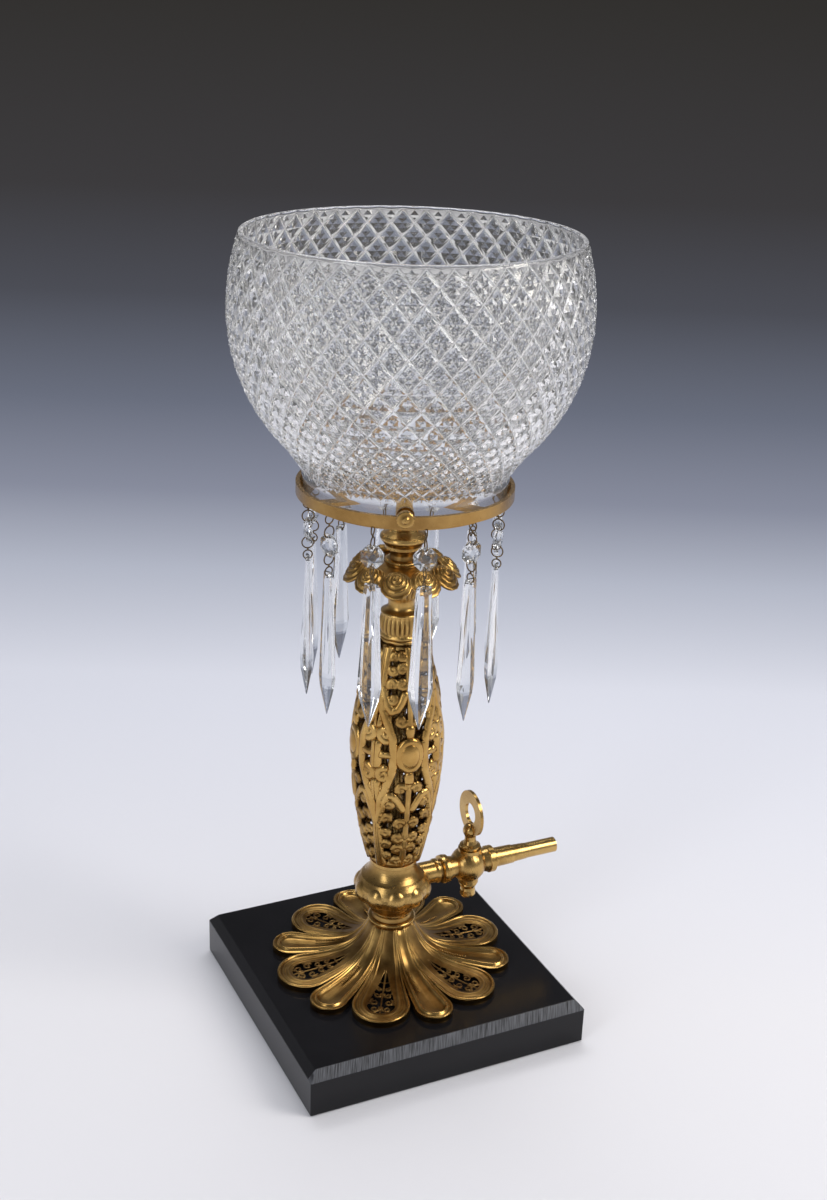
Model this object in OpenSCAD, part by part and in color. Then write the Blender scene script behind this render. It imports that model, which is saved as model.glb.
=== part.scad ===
// Gas table lamp: slate base, cast brass stem with a side cock, cut-glass bowl and twelve hanging prisms.
// Origin on the table under the stem's axis. +Z is up, and the gas branch points along +X.

/* [Base] */
// Side of the square slate base
slab_w = 196; // [180:1:215]
// Thickness of the slate base
slab_t = 31.5; // [28:0.5:36]
// Width of the chamfer round the slate's top edge
chamfer_w = 5.2; // [3:0.1:8]
// Height of the same chamfer
chamfer_h = 6.4; // [4:0.1:9]

/* [Foot] */
// Radius over the tips of the petals
foot_r = 81.5; // [76:0.5:84]
// Height of the petal tips over the slate
petal_lift = 4.2; // [3.5:0.1:5]
// Radius of the round end of a wide, pierced petal
wide_end = 19; // [17:0.5:20]
// Radius of the round end of a narrow petal
narrow_end = 12.5; // [11:0.5:13.5]
// Wall of the cast foot
foot_wall = 2.4; // [2:0.1:3]
// Radius out to which the petals are joined to each other
foot_web = 57; // [50:0.5:58]
// Top of the foot, where the turned collar sits
foot_top = 62; // [60:0.5:64]

/* [Stem] */
// Joint between the collar and the lobed knop
knop_z = 72; // [70:0.5:74]
// Height of the gas branch's axis
branch_z = 92; // [91:0.5:93]
// Radius over the knop's lobes
knop_r = 26.6; // [25.5:0.1:27.5]
// Lobes round the knop, and shells round the crown
lobes = 10; // [8:1:12]
// Bottom of the pierced column
column_z = 111; // [110:0.5:112]
// Top of the pierced column
column_top = 273; // [270:0.5:275]
// Largest radius of the column
column_r = 28.7; // [27:0.1:30]
// Scroll panels round the column
panels = 4; // [4:1:6]
// Direction of one of the column's oval bosses, from +X
panel_phase = -98; // [-180:1:180]
// Radius at the centres of the crown's shells
shell_r = 29.5; // [28:0.5:31]
// Direction of one of the crown's shells, from +X
shell_phase = 21.5; // [0:0.5:36]

/* [Shade holder] */
// Underside of the holder's seat
holder_z = 367.9; // [365:0.1:370]
// Outer radius of the holder's band
ring_r = 67; // [66:0.1:68]
// Height of the holder's band
band_h = 7.1; // [6:0.1:8]
// Direction of the first thumb screw, from +X
screw_phase = 5; // [0:1:10]

/* [Hanging glass] */
// Chains of beads and prisms
chains = 12; // [12:1:12]
// Direction of the first chain, from +X
chain_phase = 17; // [16:0.5:18]
// Height of the middle of the beads
bead_z = 346.5; // [346:0.1:347]
// Distance over the flats of a bead
bead_w = 14; // [13.6:0.1:14.2]
// Height of the hole through a prism's head
prism_z = 327.2; // [327:0.1:327.4]
// Length of a prism
prism_l = 94; // [85:1:96]
// Greatest width of a prism
prism_w = 15.5; // [14:0.1:16]

/* [Bowl] */
// Height of the bowl's rim
rim_z = 525; // [520:0.5:528]
// Greatest radius of the bowl
bowl_r = 108.4; // [106:0.1:110]
// Height of the bowl's widest place
belly_z = 480; // [478:0.5:482]
// Diamonds round the bowl
diamonds = 42; // [36:2:48]
// Rows of diamonds from the rim to the fitter
rows = 9; // [8:1:9]
// Depth of the cuts between the diamonds
cut = 1.7; // [1:0.1:2]

/* [Gas cock] */
// Distance of the plug's axis from the stem's axis
cock_x = 58; // [57:0.5:59]
// Reach of the nozzle's tip from the stem's axis
nozzle_x = 125; // [120:1:130]
// Radius of the hose end of the nozzle
hose_r = 5.3; // [5:0.1:5.6]
// Outer radius of the thumb ring
thumb_r = 15.8; // [14.5:0.1:16]

/* [Hidden] */
$fn = 64;

// Gap round pieces that turn or slide in one another, and round fixed pieces that are nested
fit = 0.05;
brass = [0.72, 0.54, 0.24];
dark_brass = [0.45, 0.33, 0.16];
glass = [0.85, 0.90, 0.92, 0.5];
slate = [0.05, 0.05, 0.06];

// Threads, pipes and bores
rod_r = 5;
pipe_r = 4.75;
pipe_bore = 3.2;
gas_r = 3;
recess_r = 20;
recess_h = 12;
washer_t = 2;
nut_h = 7;
rod_low = 1.5;
rod_top = 84;
pipe_low = 97;
pipe_top = 334;
cap_z = 322;
cap_top = 345;

// Shade holder, from the drawing of its section
band_t = 2.5;
seat_t = 1.5;
skirt_r = 59.9;
skirt_t = 1;
skirt_low = 364.6;
hook_z = 366.2;
hook_hole = 0.95;
arm_w = 8;
arm_t = 2.5;
arm_phase = 62;
hub_r = 11;
pillar_r = 5.5;
lug_r = 5.3;
lug_z = 375.5;
screw_r = 1.6;
screw_tip = 63.2;
screw_head_r = 5.2;

// Bent wires and the holes that they pass through
wire_r = 0.4;
hook_loop = 3;
bead_loop = 3.6;
prism_loop = 2.8;
bead_hole = 1.15;
bead_hole_at = 4.9;
bead_t = 5.2;
prism_hole = 1.2;
slack = 0.05;

// Bowl
rim_r = 100.7;
fitter_z = holder_z + seat_t;
fitter_r = 62.4;
fitter_wall = 3.6;
neck_z = 384;
neck_r = 63.6;
bell_z = 400;
bowl_wall = 4.6;
rim_wall = 3;
lower_arc = 113;
upper_arc = ((rim_z - belly_z) * (rim_z - belly_z) + (bowl_r - rim_r) * (bowl_r - rim_r)) / 2 / (bowl_r - rim_r);
// A diamond is a little taller than it is wide
diamond_ratio = 1.21;

// Points along an arc, from angle a to angle b
function arc(c, r, a, b, n = 8) = [for (i = [0:n]) c + r * [cos(a + (b - a) * i / n), sin(a + (b - a) * i / n)]];

// Copies an inwards-facing part to a direction round the stem
module at(angle) {
    rotate([0, 0, angle]) children();
}

// Base

module base_slab() {
    color(slate)
        difference() {
            hull() {
                translate([-slab_w / 2, -slab_w / 2, 0])
                    cube([slab_w, slab_w, slab_t - chamfer_h]);
                translate([chamfer_w - slab_w / 2, chamfer_w - slab_w / 2, slab_t - 1])
                    cube([slab_w - 2 * chamfer_w, slab_w - 2 * chamfer_w, 1]);
            }
            translate([0, 0, -1])
                cylinder(h = slab_t + 2, r = rod_r + 0.5);
            translate([0, 0, -1])
                cylinder(h = recess_h + 1, r = recess_r);
        }
}

module base_washer() {
    color(dark_brass)
        translate([0, 0, recess_h - washer_t])
            difference() {
                cylinder(h = washer_t, r = 14);
                translate([0, 0, -1])
                    cylinder(h = washer_t + 2, r = rod_r + 0.3);
            }
}

module base_nut() {
    color(dark_brass)
        translate([0, 0, recess_h - washer_t - nut_h])
            difference() {
                cylinder(h = nut_h, r = 9.8, $fn = 6);
                translate([0, 0, -1])
                    cylinder(h = nut_h + 2, r = rod_r + fit);
            }
}

module tie_rod() {
    color(dark_brass)
        translate([0, 0, rod_low])
            cylinder(h = rod_top - rod_low, r = rod_r);
}

// Cast foot: petals cut from a trumpet-shaped shell, each with a raised edge that stands on the slate

// Height of the trumpet's skin at a radius
function trumpet_z(r) = slab_t + petal_lift + (foot_top - slab_t - petal_lift) * exp(-(r - 15) / 11);

// Solid under the trumpet's skin, lifted by up
module trumpet(up) {
    steps = 12;
    skin = [for (i = [0:steps]) let (r = 15 + (foot_r + 1 - 15) * pow(i / steps, 1.5)) [r, trumpet_z(r) + up]];
    rotate_extrude()
        polygon(concat([[foot_r + 1, slab_t], [0, slab_t], [0, foot_top + up]], skin));
}

// Outline of one petal along +X, with a round end of radius end
module petal(end, inset = 0) {
    c = foot_r - end;
    r = end - inset;
    lean = asin((end - 3.6) / (c - 12));
    translate([c, 0])
        circle(r = r);
    polygon([[c + r * sin(-lean), r * cos(lean)], [10, 3.6 - inset * 0.6], [10, inset * 0.6 - 3.6],
             [c + r * sin(-lean), -r * cos(lean)]]);
}

module petals(inset = 0) {
    for (k = [0:5]) {
        rotate(60 * k) petal(wide_end, inset);
        rotate(60 * k + 30) petal(narrow_end, inset);
    }
    circle(r = foot_web - inset);
}

// A leaf-shaped opening, l long and w wide, with its point towards the stem
module leaf(l, w, n = 8) {
    up = [for (i = [0:n]) let (t = i / n) [l * t, w / 2 * sin(180 * pow(t, 0.8)) * (0.45 + 0.55 * t)]];
    down = [for (i = [n - 1:-1:1]) [up[i][0], -up[i][1]]];
    polygon(concat(up, down));
}

// Openings of one pierced petal: a trefoil at its wide end, curled pairs, and a slit towards the stem
module tracery() {
    translate([31, 0]) leaf(10, 2);
    for (s = [-1, 1]) {
        translate([40, s * 2.6]) rotate(s * 16) leaf(7.5, 2.6);
        translate([48, s * 4.4]) rotate(s * 24) leaf(8, 3.4);
        translate([57, s * 6.6]) rotate(s * 12) leaf(9, 4.2);
        translate([64.5, s * 2.4]) rotate(s * 50) leaf(7, 3.2);
    }
    translate([43.5, 0]) leaf(7, 2.4);
    translate([52.5, 0]) leaf(10, 3.6);
}

module foot() {
    color(brass)
        difference() {
            union() {
                intersection() {
                    trumpet(0);
                    translate([0, 0, slab_t]) linear_extrude(40) petals();
                }
                intersection() {
                    trumpet(0.9);
                    translate([0, 0, slab_t])
                        linear_extrude(9)
                            difference() {
                                petals();
                                petals(2);
                                circle(r = 46);
                            }
                }
            }
            // hollow underneath, but for the petals' edges
            intersection() {
                trumpet(-foot_wall);
                translate([0, 0, slab_t - 1]) linear_extrude(40) petals(2);
            }
            for (k = [0:5])
                rotate([0, 0, 60 * k])
                    translate([0, 0, slab_t - 1])
                        linear_extrude(20) tracery();
            translate([0, 0, slab_t - 1])
                cylinder(h = 40, r = rod_r + fit);
        }
}

module neck_collar() {
    color(brass)
        rotate_extrude()
            polygon(concat([[rod_r + fit, foot_top], [15, foot_top]],
                           arc([14.6, foot_top + 2.3], 1.7, -70, 90),
                           [[13.6, foot_top + 4.2]],
                           arc([15.2, foot_top + 7], 2.2, 200, 110),
                           [[14.4, knop_z], [rod_r + fit, knop_z]]));
}

module knop() {
    lobe = 9.2;
    color(brass)
        difference() {
            union() {
                rotate_extrude()
                    polygon(concat([[0, knop_z], [14, knop_z], [14.6, knop_z + 2]],
                                   arc([15, 89], 10.2, -75, 35),
                                   arc([29, 109.5], 14, 236, 184),
                                   [[16, column_z - 2], [16, column_z], [0, column_z]]));
                for (k = [0:lobes - 1])
                    rotate([0, 0, 360 / lobes * k])
                        translate([knop_r - lobe, 0, 88.5])
                            sphere(r = lobe);
                translate([18, 0, branch_z])
                    rotate([0, 90, 0]) cylinder(h = 12, r = 7.6);
            }
            translate([0, 0, knop_z - 1])
                cylinder(h = rod_top - knop_z + 1 + fit, r = rod_r + fit);
            translate([0, 0, rod_top - 1])
                cylinder(h = pipe_low - rod_top + 2, r = pipe_bore);
            translate([0, 0, pipe_low - fit])
                cylinder(h = 20, r = pipe_r + fit);
            translate([0, 0, branch_z])
                rotate([0, 90, 0]) cylinder(h = 40, r = gas_r);
            translate([20, 0, branch_z])
                rotate([0, 90, 0]) cylinder(h = 20, r = 5 + fit);
        }
}

// Pierced column: a cast baluster shell with cut openings, raised waved straps, oval bosses and roundels

belly_c = 193;
shell_t = 2.6;

// Radius of the baluster's skin at a height
function baluster_r(z) =
    z < belly_c ? 15 + (column_r - 16) * pow(sin(90 * (z - column_z) / (belly_c - column_z)), 0.8)
                : 13 + (column_r - 14) * pow(cos(90 * (z - belly_c) / (column_top - belly_c)), 0.72);

// The baluster's section from just outside its skin, up, to t deep
module baluster(up, t) {
    heights = [column_z + 6, 130, 149, 170, 193, 216, 238, 256, column_top - 7];
    rotate_extrude()
        polygon(concat([for (z = heights) [baluster_r(z) + up, z]],
                       [for (i = [len(heights) - 1:-1:0]) [baluster_r(heights[i]) + up - t, heights[i]]]));
}

// Sets a flat shape against the skin, at angle a from the panel's middle and height z, with its own +X up
module on_skin(a, z) {
    rotate([0, 0, a])
        translate([0, 0, z])
            rotate([0, -90, 180]) children();
}

// Cuts one leaf-shaped opening l tall and w wide on both sides of the panel's middle, turned by tilt
module opening(a, z, l, w, tilt = 0) {
    for (s = a == 0 ? [1] : [-1, 1])
        on_skin(s * a, z)
            linear_extrude(40)
                rotate(s * tilt) translate([-l / 2, 0]) leaf(l, w, 3);
}

// One side's waved strap, w wide, as a flat shape whose middle is on the panel's edge line
module wave(w) {
    n = 8;
    low = column_z + 5;
    rise = (column_top - column_z - 10) / n;
    mid = [for (i = [0:n]) let (z = low + rise * i) [z, baluster_r(z) * sin(13 * cos(360 * (z - belly_c) / 92))]];
    polygon(concat([for (p = mid) [p[0], p[1] + w / 2]], [for (i = [n:-1:0]) [mid[i][0], mid[i][1] - w / 2]]));
}

module panel_raised() {
    for (s = [-1, 1]) {
        on_skin(s * 30, 0)
            linear_extrude(40) scale([1, s]) wave(3.2);
    }
}

module panel_bosses() {
    // oval boss in its frame
    on_skin(0, belly_c + 8)
        translate([0, 0, column_r - 4]) {
            linear_extrude(3.6) oval(12, 7.6);
            linear_extrude(5) oval(9.6, 5.4);
            linear_extrude(6.2) oval(7.4, 3.6);
        }
    for (s = [-1, 1])
        for (v = [[38, 176, 3.4], [38, 216, 3.2]])
            on_skin(s * v[0], v[1])
                translate([0, 0, baluster_r(v[1]) - 2])
                    cylinder(h = 3.6, r1 = v[2] + 0.8, r2 = v[2] - 0.8);
}

// An oval with half height a and half width b
module oval(a, b) {
    polygon([for (i = [0:15]) [a * cos(22.5 * i), b * sin(22.5 * i)]]);
}

module panel_openings() {
    opening(0, 262, 9, 3.4);
    opening(0, 248, 12, 3.4, 180);
    opening(11, 256, 10, 2.8, 186);
    opening(18, 242, 13, 4, 190);
    opening(7, 231, 12, 4, 200);
    opening(22, 225, 12, 4.4, 160);
    opening(0, 219, 7, 3.6);
    opening(18, 208, 10, 3.6, -30);
    opening(21, 193, 12, 4.2, 180);
    opening(14, 180, 10, 3.4, 40);
    opening(0, 175, 12, 4.6);
    opening(23, 171, 11, 4.4, 20);
    opening(9, 163, 11, 3.8, -18);
    opening(0, 155, 9, 3, 180);
    opening(17, 146, 13, 4.4, -12);
    opening(0, 139, 11, 3.6);
    opening(9, 130, 11, 3);
    opening(0, 122.5, 8, 2.6, 180);
    opening(38, 204, 9, 3.6);
    opening(38, 190, 9, 3.6, 180);
    opening(37, 160, 14, 4, 180);
    opening(36, 138, 12, 3.4);
    opening(34, 125, 9, 2.8);
    opening(37, 233, 13, 3.6);
    opening(37, 253, 10, 2.8);
}

module column() {
    color(brass)
        difference() {
            union() {
                baluster(0, shell_t);
                intersection() {
                    baluster(1, 2);
                    for (k = [0:panels - 1])
                        rotate([0, 0, panel_phase + 360 / panels * k]) panel_raised();
                }
                for (k = [0:panels - 1])
                    rotate([0, 0, panel_phase + 360 / panels * k]) panel_bosses();
                rotate_extrude()
                    polygon([[10.5, column_z], [15.4, column_z], [16.8, column_z + 2], [16.6, column_z + 4.5],
                             [15.6, column_z + 6], [15.8, column_z + 8], [12, column_z + 8]]);
                rotate_extrude()
                    polygon([[6.5, column_top], [13.4, column_top], [13.4, column_top - 2], [12.6, column_top - 4],
                             [13.6, column_top - 6], [15.6, column_top - 8], [12, column_top - 9], [6.5, column_top - 2]]);
            }
            for (k = [0:panels - 1])
                rotate([0, 0, panel_phase + 360 / panels * k]) panel_openings();
        }
}

module gas_pipe() {
    color(dark_brass)
        translate([0, 0, pipe_low])
            difference() {
                cylinder(h = pipe_top - pipe_low, r = pipe_r);
                translate([0, 0, -1])
                    cylinder(h = pipe_top - pipe_low + 2, r = pipe_bore);
            }
}

// One shell of the crown: a domed disc with concentric ridges
module shell() {
    rotate_extrude()
        polygon([[0, -3], [7, -2.2], [10, 0], [9.4, 1.5], [8.1, 1.9], [7.6, 1.3], [6.3, 3], [5.6, 2.5],
                 [4.3, 3.9], [3.6, 3.5], [2, 4.6], [0, 4.8]]);
}

module capital() {
    flutes = 20;
    color(brass)
        difference() {
            union() {
                difference() {
                    rotate_extrude()
                        polygon(concat([[0, column_top], [13.2, column_top], [13.2, column_top + 2.5], [12.6, column_top + 3],
                                        [12.9, 288], [13.3, 289], [12.4, 291]],
                                       arc([12.4, 294.5], 4, 240, 130, 5),
                                       [[11.4, 301], [14, 306.5], [14.6, 308], [22, 311.5], [27, 315], [28, 318],
                                        [22, 320.5], [15, 320], [11, cap_z], [0, cap_z]]));
                    for (k = [0:flutes - 1])
                        rotate([0, 0, 360 / flutes * k]) {
                            translate([13.3, 0, column_top + 4])
                                cylinder(h = 12.5, r = 1.1);
                            translate([12.3, 0, 298.6])
                                rotate([0, 17, 0]) cylinder(h = 8.5, r = 1.2);
                        }
                }
                for (k = [0:lobes - 1])
                    rotate([0, 0, shell_phase + 360 / lobes * k])
                        translate([shell_r, 0, 317.5])
                            rotate([0, 38, 0]) shell();
            }
            translate([0, 0, column_top - 1])
                cylinder(h = cap_z - column_top + 2, r = pipe_r + fit);
        }
}

module turned_cap() {
    color(brass)
        difference() {
            rotate_extrude()
                polygon(concat([[0, cap_z], [10.8, cap_z]],
                               arc([10.2, cap_z + 1.6], 1.6, -70, 80, 5),
                               [[8.4, cap_z + 3.6], [8.1, cap_z + 6], [8.6, cap_z + 8.4], [10.2, cap_z + 9.4],
                                [11.6, cap_z + 10.6], [11.6, cap_z + 12.4], [12.6, cap_z + 13.6]],
                               arc([12.4, cap_z + 17.2], 2.4, -70, 80, 6),
                               [[10, cap_top - 2], [7.4, cap_top], [0, cap_top]]));
            translate([0, 0, cap_z - 1])
                cylinder(h = cap_top - cap_z + 2, r = pillar_r + fit);
        }
}

// Gas branch, all along +X at branch_z

module along_branch(x) {
    translate([x, 0, branch_z])
        rotate([0, 90, 0]) children();
}

module branch_nipple() {
    color(brass)
        along_branch(20)
            difference() {
                rotate_extrude()
                    polygon([[gas_r, 0], [5, 0], [5, 10], [7.6, 10], [8.4, 11.5], [8.4, 13], [7, 14], [7, 15],
                             [9.6, 16], [9.9, 18], [9.6, 20.6], [8.4, 21], [5, 21], [5, 26.5], [gas_r, 26.5]]);
            }
}

module cock_body() {
    plug_low = branch_z - 14;
    plug_top = branch_z + 12.5;
    color(brass)
        difference() {
            union() {
                along_branch(41)
                    rotate_extrude()
                        polygon(concat([[0, 0], [8.2, 0]],
                                       arc([0, 16], 12.6, -55 + 90 - 90, 52, 12),
                                       [[8.6, 30], [9.3, 30.6], [9.3, 34.4], [8.4, 35], [0, 35]]));
                translate([cock_x, 0, plug_low])
                    cylinder(h = 14, r = 7);
                translate([cock_x, 0, branch_z])
                    cylinder(h = plug_top - branch_z, r = 8);
            }
            translate([cock_x, 0, plug_low - 1])
                cylinder(h = plug_top - plug_low + 2, r1 = 5 - 1 / 26.5 + fit, r2 = 6 + 1 / 26.5 + fit);
            along_branch(40)
                cylinder(h = 7, r = 5 + fit);
            along_branch(40)
                cylinder(h = 40, r = gas_r);
            along_branch(69)
                cylinder(h = 10, r = 5 + fit);
        }
}

// Tapered plug with its gas way crosswise, which is closed, and a slotted ball for the thumb ring
module cock_plug() {
    plug_low = branch_z - 14;
    plug_top = branch_z + 12.5;
    color(brass)
        translate([cock_x, 0, 0])
            difference() {
                union() {
                    translate([0, 0, plug_low])
                        cylinder(h = plug_top - plug_low, r1 = 5, r2 = 6);
                    translate([0, 0, plug_low - 8])
                        cylinder(h = 9, r = 3);
                    rotate_extrude()
                        polygon([[0, plug_top - 1], [5.5, plug_top - 1], [5.9, plug_top + 0.1], [6.9, plug_top + 0.3],
                                 [7.1, plug_top + 2.4], [5, plug_top + 3.6], [3.9, plug_top + 6], [3.9, 114], [0, 114]]);
                    translate([0, 0, 118])
                        sphere(r = 5.4);
                }
                translate([0, 0, branch_z])
                    rotate([90, 0, 0]) cylinder(h = 20, r = gas_r, center = true);
                thumb_disc(thumb_r + fit, 2.2 + 2 * fit);
            }
}

// A disc that stands crosswise in the slot of the plug
module thumb_disc(r, t) {
    translate([-t / 2, 0, 115.6 + thumb_r])
        rotate([0, 90, 0]) cylinder(h = t, r = r);
}

module thumb_ring() {
    color(brass)
        translate([cock_x, 0, 0])
            difference() {
                thumb_disc(thumb_r, 2.2);
                thumb_disc(7.3, 10);
            }
}

module plug_nut() {
    top = branch_z - 14.2;
    color(brass)
        translate([cock_x, 0, 0])
            difference() {
                rotate_extrude()
                    polygon([[3 + fit, top - 8], [3 + fit, top], [5.6, top], [6.2, top - 1.4], [5.4, top - 3.2],
                             [4.6, top - 4.2], [5.2, top - 6], [5.4, top - 9.5], [4.4, top - 11], [0, top - 11], [0, top - 8]]);
                translate([-1.1, -10, top - 12])
                    cube([2.2, 20, 3.2]);
            }
}

module nozzle() {
    x0 = 70;
    color(brass)
        along_branch(x0)
            rotate_extrude()
                polygon([[gas_r, 0], [5, 0], [5, 6], [6.8, 6], [6.8, 6.8], [6.45, 21], [6, 21.4], [5.6, 30], [hose_r, 33],
                         [hose_r, nozzle_x - x0], [gas_r, nozzle_x - x0]]);
}

// Shade holder and thumb screws

module shade_holder() {
    hole_step = 360 / chains;
    color(brass)
        difference() {
            union() {
                rotate_extrude()
                    polygon([[skirt_r - skirt_t / 2, skirt_low], [skirt_r + skirt_t / 2, skirt_low],
                             [skirt_r + skirt_t / 2, holder_z], [ring_r, holder_z], [ring_r, holder_z + band_h],
                             [ring_r - band_t, holder_z + band_h], [ring_r - band_t, fitter_z],
                             [skirt_r - skirt_t / 2, fitter_z]]);
                for (k = [0:2])
                    rotate([0, 0, arm_phase + 120 * k])
                        translate([hub_r - 2, -arm_w / 2, fitter_z - arm_t])
                            cube([skirt_r - hub_r + 2, arm_w, arm_t]);
                translate([0, 0, fitter_z - arm_t - 1])
                    cylinder(h = arm_t + 3, r = hub_r);
                for (k = [0:2])
                    rotate([0, 0, screw_phase + 120 * k])
                        translate([ring_r - band_t - 0.1, 0, lug_z])
                            rotate([0, 90, 0]) cylinder(h = band_t - 0.3, r = lug_r);
            }
            translate([0, 0, fitter_z - 20])
                cylinder(h = 40, r = pillar_r + fit);
            for (k = [0:chains - 1])
                rotate([0, 0, chain_phase + hole_step * k])
                    translate([skirt_r - 3, 0, hook_z])
                        rotate([0, 90, 0]) cylinder(h = 6, r = hook_hole);
            for (k = [0:2])
                rotate([0, 0, screw_phase + 120 * k])
                    translate([ring_r - 10, 0, lug_z])
                        rotate([0, 90, 0]) cylinder(h = 20, r = screw_r + fit);
        }
}

module shade_screw(k) {
    head = 70.2 - screw_tip;
    color(brass)
        rotate([0, 0, screw_phase + 120 * (k - 1)])
            translate([screw_tip, 0, lug_z])
                rotate([0, 90, 0])
                    difference() {
                        rotate_extrude()
                            polygon([[0, 0], [1.2, 0], [screw_r, 0.5], [screw_r, head - 1.4], [3, head - 1],
                                     [3.4, head], [screw_head_r - 0.4, head], [screw_head_r, head + 0.5],
                                     [screw_head_r, head + 3.4], [screw_head_r - 0.6, head + 4], [2.6, head + 4.2],
                                     [1.6, head + 5.2], [0, head + 5.4]]);
                        for (i = [0:17])
                            rotate([0, 0, 20 * i])
                                translate([screw_head_r + 0.35, 0, head - 1])
                                    cylinder(h = 8, r = 0.7);
                    }
}

// Bowl: two spiral sets of cuts leave diamonds, which are low pyramids on a round-bellied shell

// Radius of the uncut outside at a height
function bowl_skin(z) =
    z > belly_z ? bowl_r - upper_arc + sqrt(upper_arc * upper_arc - (z - belly_z) * (z - belly_z))
    : z > bell_z ? bowl_r - lower_arc + sqrt(lower_arc * lower_arc - (z - belly_z) * (z - belly_z))
    : z > neck_z ? neck_r + (bowl_skin(bell_z + 0.01) - neck_r) * (z - neck_z) / (bell_z - neck_z)
                 : fitter_r + (neck_r - fitter_r) * (z - fitter_z) / (neck_z - fitter_z);

// How far half a diamond reaches down the skin from height z
function half_diamond(z) =
    let (slope = (bowl_skin(z) - bowl_skin(z - 1)), h = diamond_ratio * PI * bowl_skin(z) / diamonds)
        h / sqrt(1 + slope * slope);

module bowl() {
    n = 2 * diamonds;
    levels = [for (i = 0, z = rim_z - 2.2; i < 2 * rows; z = z - half_diamond(z), i = i + 1) z];
    inner = [for (i = [0:7]) rim_z - 1 - (rim_z - 1 - bell_z) * pow(i / 7, 0.85)];
    // each ring is [height, radius, whether it alternates between cuts and points]
    rings = concat(
        [[fitter_z, fitter_r, 0], [neck_z - 1, neck_r, 0]],
        [for (i = [2 * rows - 1:-1:0]) [levels[i], bowl_skin(levels[i]), 1]],
        [[rim_z, rim_r, 0], [rim_z, rim_r - rim_wall, 0]],
        [for (z = inner) [z, bowl_skin(z) - (z > belly_z ? rim_wall + (bowl_wall - rim_wall) * (rim_z - z) / (rim_z - belly_z)
                                                           : bowl_wall), 0]],
        [[neck_z, neck_r - fitter_wall, 0], [fitter_z, fitter_r - fitter_wall, 0]]);
    m = len(rings);
    points = [for (j = [0:m - 1]) for (i = [0:n - 1])
        let (r = rings[j][1] - (rings[j][2] == 1 && (i + j) % 2 == 0 ? cut : 0))
            [r * cos(360 * i / n), r * sin(360 * i / n), rings[j][0]]];
    faces = [for (j = [0:m - 1]) for (i = [0:n - 1])
        let (a = j * n + i, b = j * n + (i + 1) % n, c = ((j + 1) % m) * n + (i + 1) % n, d = ((j + 1) % m) * n + i)
            each ((i + j) % 2 == 0 ? [[a, c, b], [a, d, c]] : [[a, d, b], [b, d, c]])];
    color(glass)
        polyhedron(points, faces);
}

module burner_pillar() {
    color(brass)
        rotate_extrude()
            polygon([[2, pipe_top + fit], [pillar_r, pipe_top + fit], [pillar_r, 361], [8.5, 361.4], [9.2, 363.4], [8.2, 365.9],
                     [pillar_r, 365.9], [pillar_r, fitter_z + 2], [8.4, fitter_z + 2], [8.4, 375], [6, 376.4], [4.4, 380], [4.4, 392], [5.2, 392.6],
                     [5.2, 395], [2, 395]]);
}

module burner_tip() {
    color([0.85, 0.80, 0.70])
        difference() {
            union() {
                translate([0, 0, 389])
                    cylinder(h = 8, r = 2 - fit);
                translate([0, 0, 395])
                    cylinder(h = 6, r = 3.6);
                translate([0, 0, 401])
                    sphere(r = 3.6);
            }
            translate([-0.3, -5, 401.5])
                cube([0.6, 10, 5]);
            translate([0, 0, 388])
                cylinder(h = 14, r = 1);
        }
}

// Hanging chains: each hangs from a hole in the holder's skirt, in a vertical plane through the stem

module chain_at(k) {
    rotate([0, 0, chain_phase + 360 / chains * (k - 1)])
        translate([skirt_r, 0, 0]) children();
}

module bead(k) {
    flat_to_corner = 1 / cos(22.5);
    color(glass)
        chain_at(k)
            translate([0, 0, bead_z])
                rotate([0, 90, 0])
                    difference() {
                        hull() {
                            rotate(22.5)
                                cylinder(h = 1.8, r = bead_w / 2 * flat_to_corner, $fn = 8, center = true);
                            cylinder(h = bead_t, r = bead_w / 2 * 0.46 * flat_to_corner, $fn = 8, center = true);
                        }
                        for (s = [-1, 1])
                            translate([s * bead_hole_at, 0, 0])
                                rotate(7)
                                    cylinder(h = 10, r = bead_hole, $fn = 12, center = true);
                    }
}

// A loop of wire that stands in the chain's vertical plane
module loop(r, z) {
    translate([0, 0, z])
        rotate([90, 0, 0])
            rotate_extrude()
                translate([r, 0]) circle(r = wire_r, $fn = 24);
}

module shank(low, high) {
    translate([0, 0, low])
        cylinder(h = high - low, r = wire_r * 1.4, $fn = 24);
}

module wires(k) {
    hook_mid = hook_z - hook_loop;
    bead_mid = bead_z + bead_hole_at + slack + bead_loop;
    low_mid = bead_z - bead_hole_at - slack - bead_loop;
    prism_mid = prism_z + slack + prism_loop;
    color(dark_brass)
        chain_at(k) {
            loop(hook_loop, hook_mid);
            shank(bead_mid + bead_loop - 0.2, hook_mid - hook_loop + 0.2);
            loop(bead_loop, bead_mid);
            loop(bead_loop, low_mid);
            shank(prism_mid + prism_loop - 0.2, low_mid - bead_loop + 0.2);
            loop(prism_loop, prism_mid);
        }
}

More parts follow.
